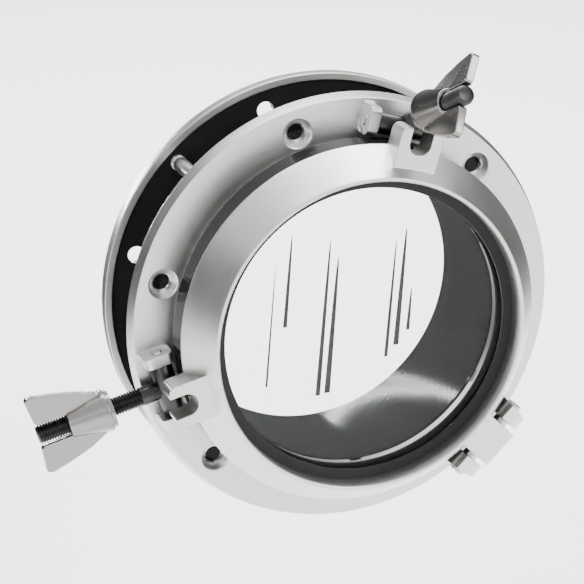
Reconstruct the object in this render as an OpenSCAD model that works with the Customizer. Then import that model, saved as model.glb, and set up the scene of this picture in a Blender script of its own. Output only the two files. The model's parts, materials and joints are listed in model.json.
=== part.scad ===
// Opening porthole window of a ship, with its frame: a flanged casting with a tube
// through the wall, an outer ring, and a hinged glass frame held by two swing-bolt dogs.
// Millimetres. Room side is -Y, +Z is up, and Y = 0 is the face that lies on the wall.

/* [Main frame] */
// Clear opening through the wall tube
clear_d = 194; // [180:1:240]
// Flange width, from the clear opening to the outer edge
flange_w = 43; // [43:1:52]
// Flange thickness
flange_t = 8; // [7:0.5:10]
// Wall of the tube that passes through the wall
tube_wall = 6; // [5:0.5:8]
// Space for the wall, between the flange and the outer ring
wall_gap = 50; // [30:1:70]
// Clearance hole for each mounting bolt
bolt_hole_d = 11; // [9:0.5:12]
// Countersink of each mounting bolt
bolt_sink_d = 20; // [17:0.5:21]
// Distance from the mounting bolts to the flange edge
bolt_edge = 18; // [16:0.5:18]

/* [Outer ring] */
// Thickness of the outer ring, without its lip
ring_t = 7; // [6:0.5:9]
// Height of the lip that bears on the wall
ring_lip_h = 3; // [2:0.5:4]
// Diameter of the studs that draw the ring up
stud_d = 10; // [8:1:10]
// Radial clearance between the ring and the tube
ring_clear = 0.3; // [0.2:0.1:1]

/* [Glass frame] */
// How far the glass frame stands outside the clear opening
sash_over = 18.5; // [18:0.5:20]
// Height of the glass frame's front edge above the flange
edge_h = 27; // [26:0.5:28]
// Height of the rim above the flange
rim_h = 49; // [47:0.5:53]
// Height of the slotted lugs' clamping face above the flange
lug_h = 42; // [40:0.5:44]
// Width of each slotted lug
lug_w = 27.5; // [27:0.5:30]
// Width of the slot in each lug
slot_w = 14; // [13.5:0.5:15]
// Thickness of the glass
glass_t = 10; // [8:0.5:12]
// Running clearance of the pins in the moving pieces, on the radius
pin_clear = 0.05; // [0.03:0.01:0.1]

/* [Hinge] */
// Diameter of the hinge pin
hinge_pin_d = 10; // [8:0.5:12]
// Height of the hinge pin above the flange
hinge_h = 18; // [17:0.5:19]
// Width of the glass frame's knuckle
knuckle_w = 25.4; // [22:0.2:28]
// Space at each side of the knuckle
knuckle_gap = 3.5; // [1:0.5:4]

/* [Swing bolts] */
// Diameter of the swing bolts
bolt_d = 12; // [10:0.5:12.5]
// Length of a swing bolt from its pivot
bolt_l = 84; // [78:1:95]
// Diameter of the pivot pins
pivot_pin_d = 7; // [6:0.5:8]
// Height of the pivots above the flange
pivot_h = 8; // [7.5:0.1:8.5]
// Lean of the upper swing bolt from its clamped position, degrees
upper_swing = 27; // [27:1:92]
// Lean of the side swing bolt from its clamped position, degrees
side_swing = 92; // [27:1:92]
// How far the nuts are backed off from their clamped position
nut_back_off = 2; // [2:0.5:6]
// Turn of the upper wing nut from radial, degrees
upper_turn = -10; // [-90:1:90]
// Turn of the side wing nut from radial, degrees
side_turn = 90; // [-90:1:90]
// Diameter of a wing nut's round base
nut_base_d = 27; // [24:0.5:28]
// Height of a wing nut
nut_l = 47; // [42:1:50]
// Tip to tip width of a wing nut
wing_span = 52; // [44:1:56]

/* [Hidden] */
$fn = 96;

plated = [0.82, 0.82, 0.80];
steel = [0.62, 0.62, 0.61];
rubber = [0.06, 0.06, 0.06];
clear_glass = [0.75, 0.86, 0.86, 0.35];
e = 0.5; // overrun of cuts

// angles round the porthole
hinge_a = 315;
upper_a = 75;
side_a = 195;
bolt_as = [45, 105, 165, 225, 285, 345];
stud_as = [15, 135, 255];

// radii
bore_r = clear_d / 2;
tube_r = bore_r + tube_wall;
coaming_r = bore_r + 14;
crest_ri = bore_r + 9;
crest_ro = coaming_r - 0.5;
sash_r = bore_r + sash_over;
flange_r = bore_r + flange_w;
bolt_r = flange_r - bolt_edge;
stud_r = flange_r - 14;
ring_lip_r = flange_r - 4.7;
glass_r = bore_r + 2.5;
gasket_r = glass_r + 1.5;
cavity_r = gasket_r + 0.1;
thread_r = gasket_r + 1.5;
lip_r = bore_r + 0.8;
rim_r = bore_r + 3;
sight_r = bore_r - 6;
dog_r = sash_r + 8;
hinge_r = sash_r + 12.5;
lug_r = dog_r + 6;

// heights above the wall face
front_z = flange_t;
coaming_z = front_z + 8;
crest_z = coaming_z + 3.7;
sash_z = coaming_z + 2;
edge_z = front_z + edge_h;
rim_z = front_z + rim_h;
lug_z = front_z + lug_h;
lug_t = 16;
shoulder_z = rim_z - 12;
gasket_lip_t = 2;
gasket_back_z = shoulder_z - glass_t - 2 * gasket_lip_t;
keeper_t = 7;
keeper_z = gasket_back_z - keeper_t;
seal_clear = 0.3;
seal_z = crest_z + seal_clear;
seal_t = 4;
ring_z = -wall_gap - ring_lip_h;
tube_z = ring_z - ring_t - 6;
hinge_z = front_z + hinge_h;
pivot_z = front_z + pivot_h;

// swing bolts
clamp_l = lug_z - pivot_z;
washer_t = 2.4;
wing_t = 5.5;
washer_r = bolt_d;
washer_l = clamp_l + nut_back_off;
nut_base_l = washer_l + washer_t;
nut_base_r = nut_base_d / 2;
nut_clear = 0.06;
barrel_r = 7;
ear_in = lug_w / 2 + 3.75;
ear_t = 7;
ear_h = pivot_h + 8;
barrel_l = 2 * (ear_in - 0.3);
flange_lug_in = knuckle_w / 2 + knuckle_gap;
flange_lug_t = 12;
knuckle_r = 10;
hinge_eye_r = 11;

// studs of the outer ring, and lock screws of the retaining ring
stud_grip = flange_t - 1.5;
lock_d = 4;
lock_l = 5;
lock_as = [0, 120, 240];

// stands a piece modelled along Z on the wall face, with the room side towards -Y
module facing_room() {
  rotate([90, 0, 0]) children();
}

// at a radius and angle round the porthole: X outwards, Y along the rim, Z to the room
module around(angle, radius = 0, z = 0) {
  rotate([0, 0, angle]) translate([radius, 0, z]) children();
}

// extrudes an outline drawn in outwards / to-the-room along the rim
module along_rim(width) {
  rotate([90, 0, 0]) linear_extrude(height = width, center = true) children();
}

// point where the line from an outside point touches a circle at the origin
function touch(p, r, side) =
  let (a = atan2(p[1], p[0]) + side * acos(r / norm(p))) [r * cos(a), r * sin(a)];

module ring_section(r_in, r_out, z0, z1) {
  rotate_extrude() polygon([[r_in, z0], [r_out, z0], [r_out, z1], [r_in, z1]]);
}

// ---- main frame ----

module casting_section() {
  polygon([
    [bore_r + 1, tube_z], [tube_r - 1, tube_z], [tube_r, tube_z + 1], [tube_r, 0],
    [flange_r, 0], [flange_r, 1], [flange_r - 2.5, front_z],
    [coaming_r, front_z], [coaming_r, coaming_z], [crest_ro, coaming_z],
    [crest_ro - 1, crest_z], [crest_ri + 1, crest_z], [crest_ri, coaming_z],
    [bore_r + 2, coaming_z], [bore_r, coaming_z - 2], [bore_r, tube_z + 1]
  ]);
}

// outline of one flange lug of the hinge, with the pin at the origin: a round eye with a
// flat top that runs inwards as far as the turning glass frame leaves room
module flange_lug_outline() {
  foot = -hinge_h - 0.5;
  outer = touch([9.5, foot], hinge_eye_r, 1);
  circle(r = hinge_eye_r);
  polygon([
    [-14, foot], [9.5, foot], outer, [0, 0], [0, hinge_eye_r],
    [3.8 - hinge_eye_r, hinge_eye_r]
  ]);
}

// both flange lugs: straight inside faces, outside faces drawn in towards the edge
module flange_lugs() {
  w_in = flange_lug_in;
  w_root = flange_lug_in + flange_lug_t;
  w_end = flange_lug_in + 0.7 * flange_lug_t;
  intersection() {
    along_rim(4 * w_root) flange_lug_outline();
    translate([0, 0, -hinge_h - 1]) linear_extrude(height = 2 * hinge_h + 12) {
      for (s = [-1, 1])
        polygon([[-15, s * w_in], [12, s * w_in], [12, s * w_end], [-15, s * w_root]]);
    }
  }
}

module ear_outline() {
  inner = -8.6;
  outer = 9.8;
  top = ear_h - pivot_h;
  round_r = 4;
  foot = -pivot_h - 0.5;
  polygon([
    [inner, foot], [outer + 1.5, foot], [outer, foot + 3], [outer, top - round_r],
    [outer - round_r, top], [inner + round_r, top], [inner, top - round_r]
  ]);
  translate([inner + round_r, top - round_r]) circle(r = round_r);
  translate([outer - round_r, top - round_r]) circle(r = round_r);
}

module ears() {
  for (s = [-1, 1])
    translate([0, s * (ear_in + ear_t / 2), 0]) along_rim(ear_t) ear_outline();
}

module mounting_hole() {
  sink_t = (bolt_sink_d - bolt_hole_d) / 2;
  translate([0, 0, -e]) cylinder(d = bolt_hole_d, h = flange_t + 2 * e);
  translate([0, 0, front_z - sink_t]) cylinder(d1 = bolt_hole_d, d2 = bolt_sink_d, h = sink_t);
  translate([0, 0, front_z]) cylinder(d = bolt_sink_d, h = e);
}

module main_frame() {
  facing_room() color(plated) difference() {
    union() {
      rotate_extrude() casting_section();
      around(hinge_a, hinge_r, hinge_z) flange_lugs();
      for (a = [upper_a, side_a])
        around(a, dog_r, pivot_z) ears();
    }
    for (a = bolt_as)
      around(a, bolt_r) mounting_hole();
    for (a = stud_as)
      around(a, stud_r, -e) cylinder(d = stud_d, h = stud_grip + e);
    around(hinge_a, hinge_r, hinge_z) rotate([90, 0, 0])
      cylinder(d = hinge_pin_d, h = 4 * flange_lug_in, center = true);
    for (a = [upper_a, side_a])
      around(a, dog_r, pivot_z) rotate([90, 0, 0])
        cylinder(d = pivot_pin_d, h = 4 * ear_in, center = true);
  }
}

// ---- outer ring with its studs ----

module outer_ring() {
  ring_ri = tube_r + ring_clear;
  back = ring_z - ring_t;
  facing_room() color(plated) difference() {
    rotate_extrude() polygon([
      [ring_ri, back], [flange_r - 2, back], [flange_r, back + 2], [flange_r, -wall_gap],
      [ring_lip_r, -wall_gap], [ring_lip_r, ring_z], [ring_ri, ring_z]
    ]);
    for (a = bolt_as)
      around(a, bolt_r, back - e) cylinder(d = bolt_hole_d, h = ring_t + 2 * e);
    for (a = stud_as)
      around(a, stud_r, back - e) cylinder(d = stud_d + 0.6, h = ring_t + 2 * e);
  }
}

module ring_stud(n) {
  end_z = ring_z - ring_t - 12;
  facing_room() color(steel) around(stud_as[n - 1], stud_r, end_z) {
    cylinder(d1 = stud_d - 2, d2 = stud_d, h = 1);
    translate([0, 0, 1]) cylinder(d = stud_d, h = stud_grip - end_z - 1);
  }
}

module stud_nut(n) {
  nut_w = 1.6 * stud_d;
  nut_t = 0.8 * stud_d;
  tip_r = nut_w / 2 / cos(30);
  facing_room() color(steel) around(stud_as[n - 1], stud_r, ring_z - ring_t - nut_t)
    difference() {
      intersection() {
        linear_extrude(height = nut_t) circle(r = tip_r, $fn = 6);
        rotate_extrude() polygon([
          [0, 0], [nut_w / 2, 0], [tip_r, 1], [tip_r, nut_t], [0, nut_t]
        ]);
      }
      translate([0, 0, -e]) cylinder(d = stud_d + 2 * nut_clear, h = nut_t + 2 * e);
    }
}

// ---- glass frame ----

module sash_section() {
  polygon([
    [sash_r, sash_z], [sash_r, edge_z], [rim_r + 0.6, rim_z - 0.8], [rim_r, rim_z],
    [lip_r + 0.8, rim_z], [lip_r, rim_z - 0.8], [lip_r, shoulder_z],
    [cavity_r, shoulder_z], [cavity_r, gasket_back_z], [thread_r, gasket_back_z],
    [thread_r, sash_z]
  ]);
}

// groove that holds the seal against the coaming's crest
module seal_groove() {
  ring_section(crest_ri - 0.8, crest_ro + 1.8, sash_z - e, seal_z + seal_t);
}

module slotted_lug() {
  inner = bore_r + 6;
  round_r = 4.5;
  side = lug_w / 2;
  translate([0, 0, lug_z - lug_t]) linear_extrude(height = lug_t) {
    polygon([
      [inner, -side], [lug_r - round_r, -side], [lug_r, round_r - side],
      [lug_r, side - round_r], [lug_r - round_r, side], [inner, side]
    ]);
    for (s = [-1, 1])
      translate([lug_r - round_r, s * (side - round_r)]) circle(r = round_r);
  }
}

module lug_slot() {
  centre = dog_r - 3;
  translate([0, 0, lug_z - lug_t - e]) linear_extrude(height = lug_t + 2 * e) {
    translate([centre, 0]) circle(d = slot_w);
    translate([centre, -slot_w / 2]) square([30, slot_w]);
  }
}

// outline of the hinge knuckle, with the pin at the origin
module knuckle_outline() {
  inner = bore_r + 6 - hinge_r;
  top = lug_z - hinge_z;
  foot = sash_z - hinge_z;
  corner = [1, top - 2];
  outer = touch(corner, knuckle_r, -1);
  circle(r = knuckle_r);
  polygon([
    [inner, foot + 1], [-12, foot + 1], touch([-12, foot + 1], knuckle_r, 1), [0, 0],
    outer, corner, [-1, top], [inner, top]
  ]);
}

module glass_frame() {
  facing_room() color(plated) difference() {
    union() {
      rotate_extrude() sash_section();
      for (a = [upper_a, side_a])
        around(a) slotted_lug();
      around(hinge_a, hinge_r, hinge_z) along_rim(knuckle_w) knuckle_outline();
    }
    seal_groove();
    for (a = [upper_a, side_a])
      around(a) lug_slot();
    around(hinge_a, hinge_r, hinge_z) rotate([90, 0, 0])
      cylinder(d = hinge_pin_d + 2 * pin_clear, h = 2 * knuckle_w, center = true);
    lock_screw_places() cylinder(d = lock_d, h = lock_l + e);
  }
}

module glass_pane() {
  facing_room() color(clear_glass)
    translate([0, 0, gasket_back_z + gasket_lip_t]) cylinder(r = glass_r, h = glass_t);
}

// channel-section rubber round the edge of the glass
module glazing_gasket() {
  facing_room() color(rubber) rotate_extrude() polygon([
    [sight_r, gasket_back_z], [gasket_r, gasket_back_z], [gasket_r, shoulder_z],
    [sight_r, shoulder_z], [sight_r, shoulder_z - gasket_lip_t],
    [glass_r, shoulder_z - gasket_lip_t], [glass_r, gasket_back_z + gasket_lip_t],
    [sight_r, gasket_back_z + gasket_lip_t]
  ]);
}

// the lock screws sit half in the retaining ring and half in the glass frame
module lock_screw_places() {
  for (a = lock_as)
    around(a, thread_r, keeper_z - 0.01) children();
}

module retaining_ring() {
  facing_room() color(plated) difference() {
    rotate_extrude() polygon([
      [sight_r + 1, keeper_z + 1], [sight_r + 2, keeper_z], [thread_r - 0.06, keeper_z],
      [thread_r - 0.06, gasket_back_z], [sight_r + 1, gasket_back_z]
    ]);
    for (a = [30 : 60 : 330])
      around(a, sight_r, keeper_z - e) linear_extrude(height = 4 + e)
        square([8, 8], center = true);
    lock_screw_places() cylinder(d = lock_d, h = lock_l + 0.01);
  }
}

module ring_lock_screws() {
  facing_room() color(steel) lock_screw_places() difference() {
    translate([0, 0, 0.3]) cylinder(d = lock_d - 0.02, h = lock_l - 0.3);
    linear_extrude(height = 2) circle(r = 1.15, $fn = 6);
  }
}

module seal_gasket() {
  facing_room() color(rubber)
    ring_section(crest_ri - 0.8, crest_ro + 1.8, seal_z, seal_z + seal_t);
}

module hinge_pin() {
  half = flange_lug_in + flange_lug_t + 1;
  facing_room() color(steel) around(hinge_a, hinge_r, hinge_z) rotate([90, 0, 0])
    for (s = [0, 180])
      rotate([s, 0, 0]) pin_half(hinge_pin_d / 2, half);
}

// half a pin, from its middle to its domed end
module pin_half(r, half) {
  rotate_extrude() polygon([[0, 0], [r, 0], [r, half - 1], [r - 1.2, half], [0, half]]);
}

// ---- swing bolts ----

module pivot_pin(angle) {
  half = ear_in + ear_t + 0.8;
  facing_room() color(steel) around(angle, dog_r, pivot_z) rotate([90, 0, 0])
    for (s = [0, 180])
      rotate([s, 0, 0]) pin_half(pivot_pin_d / 2, half);
}

// at a swing bolt's pivot, with Z along the bolt
module on_bolt(angle, swing, l = 0) {
  facing_room() around(angle, dog_r, pivot_z) rotate([0, swing, 0])
    translate([0, 0, l]) children();
}

module swing_bolt(angle, swing) {
  color(plated) on_bolt(angle, swing) difference() {
    union() {
      rotate([90, 0, 0]) cylinder(r = barrel_r, h = barrel_l, center = true);
      rotate_extrude() polygon([
        [0, 0], [bolt_d / 2, 0], [bolt_d / 2, bolt_l - 1.5], [bolt_d / 2 - 1.5, bolt_l],
        [0, bolt_l]
      ]);
    }
    rotate([90, 0, 0])
      cylinder(d = pivot_pin_d + 2 * pin_clear, h = barrel_l + 2 * e, center = true);
  }
}

module bolt_washer(angle, swing) {
  color(plated) on_bolt(angle, swing, washer_l)
    ring_section(bolt_d / 2 + 0.3, washer_r, 0, washer_t);
}

module wing_nut(angle, swing, turn) {
  hub_l = 0.55 * nut_l;
  tip = wing_span / 2;
  inner = bolt_d / 2 + 1;
  color(plated) on_bolt(angle, swing, nut_base_l) rotate([0, 0, turn]) difference() {
    union() {
      rotate_extrude() polygon([
        [0, 0], [nut_base_r, 0], [nut_base_r, 2.5], [nut_base_r - 0.6, 3.5],
        [bolt_d / 2 + 2.6, hub_l], [0, hub_l]
      ]);
      for (s = [0, 180])
        rotate([90, 0, s]) linear_extrude(height = wing_t, center = true) polygon([
          [inner, 4], [nut_base_r - 1, 2.5], [0.55 * tip, 0.13 * nut_l],
          [0.73 * tip, 0.34 * nut_l], [0.88 * tip, 0.62 * nut_l],
          [tip, 0.91 * nut_l], [0.97 * tip, 0.98 * nut_l], [0.9 * tip, nut_l],
          [inner + 2, 0.97 * nut_l], [inner, 0.93 * nut_l]
        ]);
    }
    translate([0, 0, -e]) cylinder(d = bolt_d + 2 * nut_clear, h = hub_l + 2 * e);
  }
}

module upper_pivot_pin() { pivot_pin(upper_a); }
module upper_swing_bolt() { swing_bolt(upper_a, upper_swing); }
module upper_washer() { bolt_washer(upper_a, upper_swing); }
module upper_wing_nut() { wing_nut(upper_a, upper_swing, upper_turn); }
module side_pivot_pin() { pivot_pin(side_a); }
module side_swing_bolt() { swing_bolt(side_a, side_swing); }
module side_washer() { bolt_washer(side_a, side_swing); }
module side_wing_nut() { wing_nut(side_a, side_swing, side_turn); }

main_frame();
outer_ring();
ring_stud(1);  // ring_stud_1
ring_stud(2);  // ring_stud_2
ring_stud(3);  // ring_stud_3
stud_nut(1);  // stud_nut_1
stud_nut(2);  // stud_nut_2
stud_nut(3);  // stud_nut_3
glass_frame();
glass_pane();
glazing_gasket();
retaining_ring();
ring_lock_screws();
seal_gasket();
hinge_pin();
upper_pivot_pin();
upper_swing_bolt();
upper_washer();
upper_wing_nut();
side_pivot_pin();
side_swing_bolt();
side_washer();
side_wing_nut();
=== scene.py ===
import bpy, json, math
from mathutils import Matrix, Vector

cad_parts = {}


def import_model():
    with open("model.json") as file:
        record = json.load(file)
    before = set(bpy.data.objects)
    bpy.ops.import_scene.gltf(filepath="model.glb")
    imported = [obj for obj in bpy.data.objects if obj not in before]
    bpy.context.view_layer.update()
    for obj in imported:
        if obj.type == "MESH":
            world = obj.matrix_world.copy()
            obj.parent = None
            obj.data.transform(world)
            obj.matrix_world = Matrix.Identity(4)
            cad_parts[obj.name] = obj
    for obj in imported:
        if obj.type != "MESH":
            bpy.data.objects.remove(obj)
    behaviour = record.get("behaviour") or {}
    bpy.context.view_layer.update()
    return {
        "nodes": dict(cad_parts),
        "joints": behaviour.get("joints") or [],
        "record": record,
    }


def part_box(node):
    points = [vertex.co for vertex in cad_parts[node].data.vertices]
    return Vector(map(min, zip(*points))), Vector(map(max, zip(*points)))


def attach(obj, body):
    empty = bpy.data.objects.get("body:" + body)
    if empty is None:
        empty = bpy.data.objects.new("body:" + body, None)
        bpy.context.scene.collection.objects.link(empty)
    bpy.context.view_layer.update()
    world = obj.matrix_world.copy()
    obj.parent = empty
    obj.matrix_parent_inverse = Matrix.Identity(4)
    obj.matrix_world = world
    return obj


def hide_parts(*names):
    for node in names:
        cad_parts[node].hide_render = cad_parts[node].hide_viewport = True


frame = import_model()

nodes = frame["nodes"]
joints = {j["name"]: j for j in frame["joints"]}

# ---------- sizes, in metres ----------

# where the black enamel painted as shade ends and plate begins
FLANGE_BACK_Y = 0.0003   # just behind the flange's back
BORE_R = 0.0982          # a little over the tube's bore
COAMING_Y = -0.0155      # just behind the coaming's front
RING_BED_R = 0.1354      # just past the inside of the outer ring's lip
RING_LIP_H = 0.0032      # a little over the height of that lip
RING_FACE_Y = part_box("outer_ring")[0].y + RING_LIP_H
SASH_EDGE_Y = -0.0340    # just behind the foot of the glass frame's slope
SASH_BACK_R = 0.1090     # inner edge of the black enamel painted as shade on the glass frame's back

# threads: radius of the rod, pitch, depth
M12 = {"r": 0.006, "pitch": 0.00175, "depth": 0.00095}
M10 = {"r": 0.005, "pitch": 0.0015, "depth": 0.00080}
UNDERSIZE = 0.00002      # keeps a threaded rod inside its CAD cylinder
LEAD_IN = 0.0002         # first ring of a rod above its foot
BOLT_L = 0.084           # swing bolt, from its pivot to its tip
THREAD_FROM = 0.016      # plain neck between pivot and thread
BARREL_R, BARREL_L, BARREL_CHAMFER = 0.007, 0.0344, 0.0008
BOLT_CHAMFER, STUD_CHAMFER = 0.0013, 0.001
STUD_THREAD_L = 0.024
STEPS = 8                # rings of verts to one pitch
ROD_AROUND, STUD_AROUND = 48, 36
# a thread's cut falls from its root towards the crest, as a share of its depth
ROOT_CUT, FLANK_FALL, ROOT_ROUND = 1.15, 1.25, 0.9

# rounding of outward edges
EDGE = {"main_frame": 0.0004, "outer_ring": 0.0006,
        "upper_wing_nut": 0.0008, "side_wing_nut": 0.0008, "glazing_gasket": 0.0006,
        "seal_gasket": 0.0005, "glass_pane": 0.0005, "retaining_ring": 0.0003}
SMALL_EDGE = 0.00015
SASH_EDGE = 0.0009       # in the material only
WELD_WITHIN = 2e-6
FLAT_WITHIN = 0.6        # degrees
SHARP = 50.0             # degrees from which an edge is rounded, or split in a thread

# painted dark reflection streaks on the glass, in millimetres from its centre: place across,
# top, foot, width
PAINTED_REFLECTION_STREAKS = [(-62, 47, -29, 1.41), (-53, 66, 8, 2.59), (-28, 60, -39, 3.06), (-22, 49, -38, 3.76),
        (15, 56, -19, 2.35), (21, 63, -12, 3.53), (28, 24, -3, 2.35)]
STREAK_LEAN = 0.08
STREAK_TAPER = 0.4
GLASS_MID_Y = sum(corner.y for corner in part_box("glass_pane")) / 2

# camera and floor
FLOOR_Z, FLOOR_HALF = -0.30, 6
AZIMUTH, ELEVATION = -19.4, 19.2
LENS, SENSOR = 135.0, 36.0
LOOK_AT = Vector((0, -0.008, 0))
WIDTH = 0.366            # what the picture's width spans at the flange
RIGHT_OF_MIDDLE, BELOW_MIDDLE = 0.0335, 0.0125  # where the flange's centre lies in it

# ---------- colours and finishes ----------

PLATE_TINT = (0.68, 0.67, 0.65)
DARK_PLATE_TINT = (0.30, 0.29, 0.28)
RUBBED_BRASS = (0.84, 0.70, 0.44)
# black enamel colours, painted on as shade
PAINTED_SHADE_BLACKS = (0.006, 0.006, 0.007), (0.016, 0.016, 0.017)
STEELS = (0.50, 0.50, 0.49), (0.64, 0.64, 0.63)
BOLT_BLACKS = (0.030, 0.030, 0.032), (0.075, 0.073, 0.070)
RUBBERS = (0.006, 0.006, 0.006), (0.018, 0.018, 0.017)
GLASS_TINT = (0.955, 0.985, 0.975)
# black of the reflection streaks painted on the glass
PAINTED_REFLECTION_BLACK = (0.012, 0.013, 0.015)
FLOOR_WHITE = (0.93, 0.93, 0.93)
FLAG_BLACK = (0.015, 0.015, 0.015)
SKY = (0.97, 0.98, 1.0)
SKY_STRENGTH = 1.25

DIMMED_PLATE, DIMMED_FLOOR = 0.86, 0.96  # the darker clouds' share of the colour
PLATE_GLOSS = 0.08       # specular level of plate and of the black enamel painted as shade
RUBBER_GLOSS, STREAK_GLOSS = 0.2, 0.1
GLASS_IOR = 1.2          # below plain glass: the pane is coated against reflections

# noise scales, finer as they grow
CLOUDS, CAST_GRAIN, RUBS, CHIPS, RAGGED = 34.0, 380.0, 90.0, 240.0, 160.0
STEEL_CLOUDS, STEEL_STREAKS = 70.0, (900.0, 60.0, 900.0)
RUBBER_GRAIN, RUBBER_BLOOM = 900.0, 45.0
STREAK_MOTTLE, FLOOR_FLECKS = 420.0, 3.0
LATHE_LINES, LATHE_TURN, LATHE_LEAN = 800.0, 1.2, 3.0

# wear and relief, in metres
RUBBED_R, CHIPPED_R = 0.0012, 0.0010  # how far from an edge the plate rubs, the black enamel painted as shade chips
RUBBED_SHARE, CHIPPED_FROM = 0.7, 0.50
EDGE_STARTS, EDGE_FULL = 0.98, 0.80   # cosine between the rounded and the flat normal
CAST_RELIEF, LINE_RELIEF, RUBBER_RELIEF = 0.00015, 0.0001, 0.0003
LINE_BUMP, LINE_ROUGHNESS = 0.14, 0.10
STEEL_BUMP, RUBBER_BUMP = 0.4, 0.30


# ---------- small helpers ----------

def sin_cos(degrees):
    a = math.radians(degrees)
    return math.sin(a), math.cos(a)


def link(obj):
    bpy.context.scene.collection.objects.link(obj)
    return obj


def mesh_object(name, verts, faces):
    mesh = bpy.data.meshes.new(name)
    mesh.from_pydata(verts, [], faces)
    mesh.update()
    mesh.shade_smooth()
    return link(bpy.data.objects.new(name, mesh))


def frame_at(origin, along, across):
    """Matrix of a local frame: Z along the piece, Y across it."""
    z = Vector(along).normalized()
    y = Vector(across).normalized()
    x = y.cross(z)
    m = Matrix((x, y, z)).transposed().to_4x4()
    m.translation = Vector(origin)
    return m


def rgba(colour):
    return (*colour, 1)


def dimmed(colour, by):
    return tuple(c * by for c in colour)


# ---------- materials ----------

class Tree:
    """A material's node tree, with short calls that add and join nodes."""

    def __init__(self, name):
        self.material = bpy.data.materials.new(name)
        self.material.use_nodes = True
        self.nodes = self.material.node_tree.nodes
        self.links = self.material.node_tree.links
        self.nodes.clear()
        self.out = self.add("ShaderNodeOutputMaterial")

    def add(self, kind, inputs=None, **props):
        node = self.nodes.new(kind)
        for key, value in props.items():
            setattr(node, key, value)
        for key, value in (inputs or {}).items():
            self.put(node.inputs[key], value)
        return node

    def put(self, socket, value):
        if isinstance(value, bpy.types.NodeSocket):
            self.links.new(value, socket)
        else:
            socket.default_value = value

    def math(self, operation, a, b=0.0, clamp=False):
        node = self.add("ShaderNodeMath", {0: a, 1: b}, operation=operation, use_clamp=clamp)
        return node.outputs[0]

    def position(self):
        return self.add("ShaderNodeTexCoord").outputs["Object"]

    def axes(self, where):
        """x, y, z and the distance from the porthole's axis."""
        parts = self.add("ShaderNodeSeparateXYZ", {"Vector": where}).outputs
        x, y, z = parts["X"], parts["Y"], parts["Z"]
        radius = self.math("SQRT", self.math("ADD", self.math("MULTIPLY", x, x),
                                             self.math("MULTIPLY", z, z)))
        return x, y, z, radius

    def noise(self, where, scale, detail=3.0, roughness=0.55):
        node = self.add("ShaderNodeTexNoise", {"Vector": where, "Scale": scale,
                                               "Detail": detail, "Roughness": roughness})
        return node.outputs["Fac"]

    def mix(self, factor, a, b):
        """Colour a where the factor is 0, b where it is 1."""
        node = self.add("ShaderNodeMix", data_type="RGBA")
        for index, value in ((0, factor), (6, a), (7, b)):
            self.put(node.inputs[index], value)
        return node.outputs[2]

    def shades(self, factor, colours):
        """From the first plain colour to the second."""
        return self.mix(factor, rgba(colours[0]), rgba(colours[1]))

    def blend(self, factor, a, b):
        """Number a where the factor is 0, b where it is 1."""
        node = self.add("ShaderNodeMix", data_type="FLOAT")
        for index, value in ((0, factor), (2, a), (3, b)):
            self.put(node.inputs[index], value)
        return node.outputs[0]

    def scaled(self, factor, low, high, start=0.0, end=1.0):
        node = self.add("ShaderNodeMapRange", {"Value": factor, "From Min": start,
                                               "From Max": end, "To Min": low, "To Max": high})
        return node.outputs["Result"]

    def turned(self, where):
        """Fine circular lines, as a lathe leaves them round the porthole's axis."""
        x, y, z, radius = self.axes(where)
        turn = self.math("ADD", self.math("DIVIDE", x, radius),
                         self.math("MULTIPLY", self.math("DIVIDE", z, radius), LATHE_LEAN))
        lines = self.add("ShaderNodeCombineXYZ", {
            "X": self.math("MULTIPLY", radius, LATHE_LINES),
            "Y": self.math("MULTIPLY", y, LATHE_LINES),
            "Z": self.math("MULTIPLY", turn, LATHE_TURN)})
        return self.noise(lines.outputs[0], 1.0, 4.0, 0.6)

    def edges(self, radius):
        """1 on sharp outer edges, 0 on flat faces."""
        edge_wear_and_streak_share = self.add("ShaderNodeBevel", {"Radius": radius}, samples=4)
        flat = self.add("ShaderNodeNewGeometry")
        dot = self.add("ShaderNodeVectorMath", {0: edge_wear_and_streak_share.outputs[0], 1: flat.outputs["Normal"]},
                       operation="DOT_PRODUCT")
        return self.scaled(dot.outputs["Value"], 0.0, 1.0, EDGE_STARTS, EDGE_FULL)

    def bump(self, height, distance, strength, normal=None):
        node = self.add("ShaderNodeBump", {"Height": height, "Distance": distance,
                                           "Strength": strength})
        if normal is not None:
            self.put(node.inputs["Normal"], normal)
        return node.outputs[0]

    def shader(self, **inputs):
        node = self.add("ShaderNodeBsdfPrincipled",
                        {key.replace("_", " "): value for key, value in inputs.items()})
        self.links.new(node.outputs[0], self.out.inputs["Surface"])


def ragged(t, where, value, by=0.0003):
    """A distance with a little noise on it, so that the black enamel painted as shade doesn't
    end in a perfect line.
    """
    return t.math("ADD", value, t.scaled(t.noise(where, RAGGED), -by, by))


def painted_tube_shade(t, where):
    """Tube, bore and back of the main frame: 1 where black enamel is painted on as their
    shade, 0 where plated.
    """
    _, y, _, radius = t.axes(where)
    y = ragged(t, where, y)
    in_bore = t.math("MULTIPLY", t.math("LESS_THAN", radius, BORE_R),
                     t.math("GREATER_THAN", y, COAMING_Y))
    return t.math("MAXIMUM", t.math("GREATER_THAN", y, FLANGE_BACK_Y), in_bore)


def painted_ring_bed_shade(t, where):
    """Face of the outer ring towards the wall, inside its lip, where black enamel is painted
    on as its shade.
    """
    _, y, _, radius = t.axes(where)
    radius = ragged(t, where, radius, 0.0002)
    return t.math("MULTIPLY", t.math("LESS_THAN", radius, RING_BED_R),
                  t.math("LESS_THAN", y, RING_FACE_Y))


def painted_sash_side_shade(t, where):
    """Side wall and back of the glass frame, behind its edge, where black enamel is painted on
    as the shade of that wall.
    """
    _, y, _, radius = t.axes(where)
    return t.math("MULTIPLY", t.math("GREATER_THAN", radius, SASH_BACK_R),
                  t.math("GREATER_THAN", ragged(t, where, y), SASH_EDGE_Y))


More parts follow.
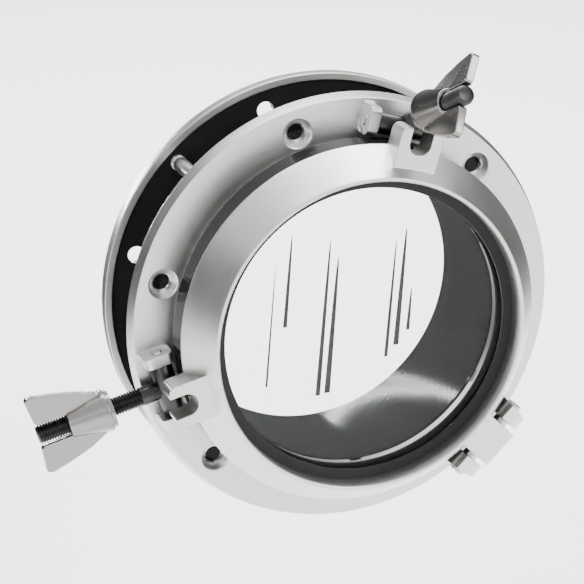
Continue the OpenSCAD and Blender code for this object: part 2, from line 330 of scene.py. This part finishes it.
def plated_metal(name, grain=0.25, lines=1.0, rough=0.34, tint=PLATE_TINT, painted_shade=None,
                 corner=0.0):
    """Nickel plate over cast brass: satin, lightly clouded, warm where edges are rubbed.
    The given mask function says where black enamel is painted on as shade; corner rounds its
    edges."""
    t = Tree(name)
    where = t.position()
    cloud = t.noise(where, CLOUDS, 4.0)
    cast = t.noise(where, CAST_GRAIN, 2.0)
    ring = t.turned(where)
    rub = t.math("MULTIPLY", t.edges(RUBBED_R), t.noise(where, RUBS), True)
    colour = t.shades(cloud, (dimmed(tint, DIMMED_PLATE), tint))
    colour = t.mix(t.math("MULTIPLY", rub, RUBBED_SHARE), colour, rgba(RUBBED_BRASS))
    roughness = t.math("ADD", t.scaled(cloud, rough - 0.05, rough + 0.07),
                       t.math("MULTIPLY", t.math("SUBTRACT", ring, 0.5),
                              LINE_ROUGHNESS * lines))
    metallic = 1.0
    if painted_shade:
        chips = t.math("GREATER_THAN", t.math("MULTIPLY", t.edges(CHIPPED_R),
                                              t.noise(where, CHIPS, 4.0)), CHIPPED_FROM)
        # black enamel painted as shade, with plate showing where its edges chip
        painted_light_mask = t.math("MULTIPLY", painted_shade(t, where), t.math("SUBTRACT", 1.0, chips))
        colour = t.mix(painted_light_mask, colour, t.shades(cloud, PAINTED_SHADE_BLACKS))
        roughness = t.blend(painted_light_mask, roughness, t.scaled(cloud, 0.06, 0.12))
        metallic = t.math("SUBTRACT", 1.0, painted_light_mask)
    rounded = None
    if corner:
        rounded = t.add("ShaderNodeBevel", {"Radius": corner}, samples=8).outputs[0]
    normal = t.bump(cast, CAST_RELIEF, grain, rounded)
    normal = t.bump(ring, LINE_RELIEF, LINE_BUMP * lines, normal)
    t.shader(Base_Color=colour, Metallic=metallic, Roughness=roughness, Normal=normal,
             Specular_IOR_Level=PLATE_GLOSS)
    return t.material


def steel_metal(name, colours):
    """Machined steel: fine lines and a grey that clouds slightly."""
    t = Tree(name)
    where = t.position()
    stretched = t.add("ShaderNodeMapping", {"Vector": where, "Scale": STEEL_STREAKS})
    streak = t.noise(stretched.outputs[0], 1.0, 4.0)
    colour = t.shades(t.noise(where, STEEL_CLOUDS), colours)
    t.shader(Base_Color=colour, Metallic=1.0, Roughness=t.scaled(streak, 0.24, 0.42),
             Normal=t.bump(streak, LINE_RELIEF, STEEL_BUMP))
    return t.material


def rubber_material(name):
    """Black rubber: slightly glossy where it is wiped, with a pale bloom in places."""
    t = Tree(name)
    where = t.position()
    grain = t.noise(where, RUBBER_GRAIN, 4.0)
    bloom = t.noise(where, RUBBER_BLOOM, 5.0)
    t.shader(Base_Color=t.shades(bloom, RUBBERS), Roughness=t.scaled(bloom, 0.40, 0.60),
             Normal=t.bump(grain, RUBBER_RELIEF, RUBBER_BUMP),
             Specular_IOR_Level=RUBBER_GLOSS)
    return t.material


def glass_material(name):
    """Thick toughened glass, faintly green, with thin dark reflection streaks painted on its
    front face. Each streak is broadest at its foot."""
    t = Tree(name)
    where = t.position()
    x, y, z, _ = t.axes(where)
    across = t.math("SUBTRACT", x, t.math("MULTIPLY", z, STREAK_LEAN))
    painted_light_mask = 0.0
    for place, top, foot, width in PAINTED_REFLECTION_STREAKS:
        off = t.math("ABSOLUTE", t.math("SUBTRACT", across, place / 1000))
        along = t.scaled(z, 1.0, 0.0, foot / 1000, top / 1000)
        half = t.math("MULTIPLY", t.math("POWER", along, STREAK_TAPER), width / 2000)
        line = t.math("MULTIPLY", t.math("LESS_THAN", off, half),
                      t.math("GREATER_THAN", z, foot / 1000))
        painted_light_mask = t.math("MAXIMUM", line, painted_light_mask)
    front = t.math("LESS_THAN", y, GLASS_MID_Y)
    # the painted reflection streaks stand on the front face only, a little mottled
    edge_wear_and_streak_share = t.math("MULTIPLY", front, t.scaled(t.noise(where, STREAK_MOTTLE, 4.0), 0.96, 1.0))
    glass = t.add("ShaderNodeBsdfPrincipled", {
        "Base Color": rgba(GLASS_TINT), "Roughness": 0.0, "IOR": GLASS_IOR,
        "Transmission Weight": 1.0})
    # a dark film mixed in along the streaks: painted reflection
    painted_streak = t.add("ShaderNodeBsdfPrincipled", {
        "Base Color": rgba(PAINTED_REFLECTION_BLACK), "Roughness": 0.45, "Specular IOR Level": STREAK_GLOSS})
    both = t.add("ShaderNodeMixShader", {0: t.math("MULTIPLY", painted_light_mask, edge_wear_and_streak_share),
                                         1: glass.outputs[0], 2: painted_streak.outputs[0]})
    t.links.new(both.outputs[0], t.out.inputs["Surface"])
    return t.material


BY_SLOT = {"plated_casting": plated_metal("plated_casting"),
           "plated_turned": plated_metal("plated_turned", grain=0.22, lines=0.0, rough=0.26,
                                         tint=DARK_PLATE_TINT),
           "steel": steel_metal("steel", STEELS),
           "rubber": rubber_material("rubber"),
           "glass": glass_material("glass")}
# the black enamel on these three castings is painted shade
BY_NODE = {"main_frame": plated_metal("frame_casting", painted_shade=painted_tube_shade),
           "outer_ring": plated_metal("ring_casting", painted_shade=painted_ring_bed_shade),
           "glass_frame": plated_metal("sash_casting", painted_shade=painted_sash_side_shade, corner=SASH_EDGE)}
BLACKENED = steel_metal("blackened_steel", BOLT_BLACKS)


# ---------- edges of the carried-over pieces ----------

def outward_edges():
    """Nodes that mark every sharp edge that stands out, for the bevel."""
    tree = bpy.data.node_groups.new("outward_edges", "GeometryNodeTree")
    tree.interface.new_socket("Geometry", in_out="INPUT", socket_type="NodeSocketGeometry")
    tree.interface.new_socket("Geometry", in_out="OUTPUT", socket_type="NodeSocketGeometry")
    given, made = tree.nodes.new("NodeGroupInput"), tree.nodes.new("NodeGroupOutput")
    angle = tree.nodes.new("GeometryNodeInputMeshEdgeAngle")
    sharp = tree.nodes.new("FunctionNodeCompare")
    sharp.data_type, sharp.operation = "FLOAT", "GREATER_THAN"
    sharp.inputs[1].default_value = math.radians(SHARP)
    plain = tree.nodes.new("GeometryNodeRemoveAttribute")
    plain.inputs["Name"].default_value = "custom_normal"
    smooth = tree.nodes.new("GeometryNodeSetShadeSmooth")
    store = tree.nodes.new("GeometryNodeStoreNamedAttribute")
    store.data_type, store.domain = "FLOAT", "EDGE"
    store.inputs["Name"].default_value = "bevel_weight_edge"
    tree.links.new(angle.outputs["Signed Angle"], sharp.inputs[0])
    tree.links.new(given.outputs[0], plain.inputs["Geometry"])
    tree.links.new(plain.outputs[0], smooth.inputs["Geometry"])
    tree.links.new(smooth.outputs[0], store.inputs["Geometry"])
    tree.links.new(sharp.outputs[0], store.inputs["Value"])
    tree.links.new(store.outputs[0], made.inputs[0])
    return tree


OUTWARD = outward_edges()


def soften(obj, width):
    """Rounds the outward edges, as casting and deburring leave them."""
    weld = obj.modifiers.new("weld", "WELD")
    weld.merge_threshold = WELD_WITHIN
    flat = obj.modifiers.new("flat", "DECIMATE")
    flat.decimate_type = "DISSOLVE"
    flat.angle_limit = math.radians(FLAT_WITHIN)
    mark = obj.modifiers.new("mark", "NODES")
    mark.node_group = OUTWARD
    bevel = obj.modifiers.new("bevel", "BEVEL")
    bevel.width, bevel.segments = width, 2
    bevel.limit_method = "WEIGHT"
    bevel.use_clamp_overlap = False
    shade = obj.modifiers.new("shade", "WEIGHTED_NORMAL")
    shade.weight = 50


for part in frame["record"]["subparts"]:
    name = part["node"]
    obj = nodes[name]
    obj.data.materials.clear()
    obj.data.materials.append(BY_NODE.get(name, BY_SLOT[part["material_slot"]]))
    if name != "glass_frame":  # its slope keeps the CAD's exact normals
        soften(obj, EDGE.get(name, SMALL_EDGE))


# ---------- threads ----------

def thread_cut(phase, size):
    """Depth below the crest over one pitch of a 60 degree thread: flat crest, round root."""
    away = abs(phase - 0.5) * 2
    return size["depth"] * min(1.0, max(0.0, ROOT_CUT - FLANK_FALL * away) ** ROOT_ROUND)


def circle(radius, height, around):
    """Points of a ring round Z; radius(i) gives the radius at each."""
    turns = [2 * math.pi * i / around for i in range(around)]
    return [(radius(i) * math.cos(a), radius(i) * math.sin(a), height)
            for i, a in enumerate(turns)]


def skin(rings, around):
    """Faces of a closed solid whose verts are rings from low to high."""
    faces = []
    for k in range(rings - 1):
        low, high = k * around, (k + 1) * around
        for i in range(around):
            j = (i + 1) % around
            faces.append((low + i, low + j, high + j, high + i))
    faces.append(tuple(reversed(range(around))))
    faces.append(tuple((rings - 1) * around + i for i in range(around)))
    return faces


def rod(size, length, thread_low, thread_high, chamfer, around):
    """Verts and faces of a rod along Z, threaded between two heights."""
    step = size["pitch"] / STEPS
    heights = [0.0, LEAD_IN]
    if thread_low > heights[-1]:
        heights.append(thread_low)
    count = int((thread_high - thread_low) / step)
    heights += [thread_low + step * i for i in range(1, count)]
    if thread_high < length:
        heights.append(thread_high)
    heights.append(length)

    def radius_at(z, i):
        r = size["r"] - UNDERSIZE
        if thread_low < z < thread_high:
            fade = min(1.0, (z - thread_low) / size["pitch"])
            r -= fade * thread_cut((z / size["pitch"] - i / around) % 1.0, size)
        end = size["r"] - chamfer
        return min(r, end + z, end + (length - z))

    verts = [v for z in heights for v in circle(lambda i: radius_at(z, i), z, around)]
    return verts, skin(len(heights), around)


def lathe(profile, around):
    """Verts and faces of a solid turned round Z from (radius, height) points, low to high."""
    verts = [v for r, z in profile for v in circle(lambda i: r, z, around)]
    return verts, skin(len(profile), around)


def swing_bolt(side):
    """T-headed bolt: a turned barrel on the pivot pin and a threaded shank."""
    swing, slide = joints[side + "_bolt_swing"], joints[side + "_washer_slide"]
    place = frame_at(swing["pos_m"], slide["axis"], swing["axis"])
    verts, faces = rod(M12, BOLT_L, THREAD_FROM, BOLT_L, BOLT_CHAMFER, ROD_AROUND)
    half, c = BARREL_L / 2, BARREL_CHAMFER
    barrel, barrel_faces = lathe([(BARREL_R - c, -half), (BARREL_R, c - half),
                                  (BARREL_R, half - c), (BARREL_R - c, half)], ROD_AROUND)
    start = len(verts)
    verts += [(x, z, -y) for x, y, z in barrel]
    faces += [tuple(start + i for i in f) for f in barrel_faces]
    piece = mesh_object(side + "_threaded_bolt", [place @ Vector(v) for v in verts], faces)
    finish_piece(piece, BLACKENED, side + "_bolt", side + "_swing_bolt")


def ring_stud(number):
    """Stud of the outer ring, threaded where its nut runs."""
    low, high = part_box("ring_stud_%d" % number)
    centre = (low + high) / 2
    place = frame_at((centre.x, high.y, centre.z), (0, -1, 0), (1, 0, 0))
    verts, faces = rod(M10, high.y - low.y, 0.0, STUD_THREAD_L, STUD_CHAMFER, STUD_AROUND)
    piece = mesh_object("threaded_stud_%d" % number, [place @ Vector(v) for v in verts], faces)
    finish_piece(piece, BY_SLOT["steel"], "frame", "ring_stud_%d" % number)


def finish_piece(piece, material, body, node):
    piece.data.materials.append(material)
    shade = piece.modifiers.new("shade", "EDGE_SPLIT")
    shade.split_angle = math.radians(SHARP)
    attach(piece, body)
    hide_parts(node)


for side in ("upper", "side"):
    swing_bolt(side)
for number in (1, 2, 3):
    ring_stud(number)


# ---------- floor, light and camera ----------

def panel(name, corners, colour):
    """A flat sheet of the studio, such as its floor."""
    obj = mesh_object(name, corners, [(0, 1, 2, 3)])
    t = Tree(name)
    fleck = t.noise(t.position(), FLOOR_FLECKS)
    t.shader(Base_Color=t.shades(fleck, (dimmed(colour, DIMMED_FLOOR), colour)), Roughness=0.9)
    obj.data.materials.append(t.material)
    return obj


def floor():
    h = FLOOR_HALF
    panel("floor", [(-h, -h, FLOOR_Z), (h, -h, FLOOR_Z), (h, h, FLOOR_Z), (-h, h, FLOOR_Z)],
          FLOOR_WHITE)


def dark_flag(name, start, end, top):
    """A dark upright sheet from one floor point to another, which only gloss sees."""
    (x0, y0), (x1, y1) = start, end
    obj = panel(name, [(x0, y0, FLOOR_Z), (x1, y1, FLOOR_Z), (x1, y1, top), (x0, y0, top)],
                FLAG_BLACK)
    obj.visible_camera = obj.visible_diffuse = obj.visible_shadow = False
    obj.visible_transmission = False


def area_light(name, place, aim, size, power, size_y=None):
    data = bpy.data.lights.new(name, "AREA")
    data.shape = "RECTANGLE"
    data.size, data.size_y = size, size_y or size
    data.energy = power
    obj = link(bpy.data.objects.new(name, data))
    obj.location = place
    obj.rotation_mode = "QUATERNION"
    obj.rotation_quaternion = (Vector(aim) - Vector(place)).to_track_quat("-Z", "Y")
    obj.visible_camera = obj.visible_transmission = False


def world():
    w = bpy.data.worlds.new("studio")
    bpy.context.scene.world = w
    w.use_nodes = True
    back = w.node_tree.nodes["Background"]
    back.inputs["Color"].default_value = rgba(SKY)
    back.inputs["Strength"].default_value = SKY_STRENGTH


def camera():
    data = bpy.data.cameras.new("camera")
    data.lens, data.sensor_width = LENS, SENSOR
    data.clip_end = 50
    obj = link(bpy.data.objects.new("camera", data))
    (sa, ca), (se, ce) = sin_cos(AZIMUTH), sin_cos(ELEVATION)
    back = Vector((sa * ce, -ca * ce, se))
    side = Vector((ca, sa, 0))
    up = side.cross(-back)
    target = LOOK_AT - side * RIGHT_OF_MIDDLE + up * BELOW_MIDDLE
    obj.location = target + back * (WIDTH * LENS / SENSOR)
    obj.rotation_mode = "QUATERNION"
    obj.rotation_quaternion = (-back).to_track_quat("-Z", "Y")
    bpy.context.scene.camera = obj


floor()
dark_flag("flag_behind", (-1.7, 0.50), (1.3, 0.50), top=1.6)
dark_flag("flag_left", (-1.7, -1.3), (-1.7, 0.50), top=1.0)
dark_flag("flag_right", (1.3, 0.50), (1.3, -0.5), top=0.9)
world()
area_light("key", (1.5, -2.2, 1.3), (0, 0, 0), size=1.6, power=60)
area_light("fill", (-2.2, -2.0, 0.6), (0, 0, 0), size=1.2, power=20)
area_light("back", (0.3, 1.3, 2.2), (0, 1.4, FLOOR_Z), size=2.4, power=270)
# thin strips that shine in the tube, where crescents are drawn
area_light("tube_strip_near", (-0.08, 0.33, 0.08), (0.05, 0, -0.05), 0.4, 0.7, size_y=0.005)
area_light("tube_strip_far", (-0.12, 0.45, 0.12), (0.05, 0, -0.05), 0.5, 0.9, size_y=0.005)
camera()
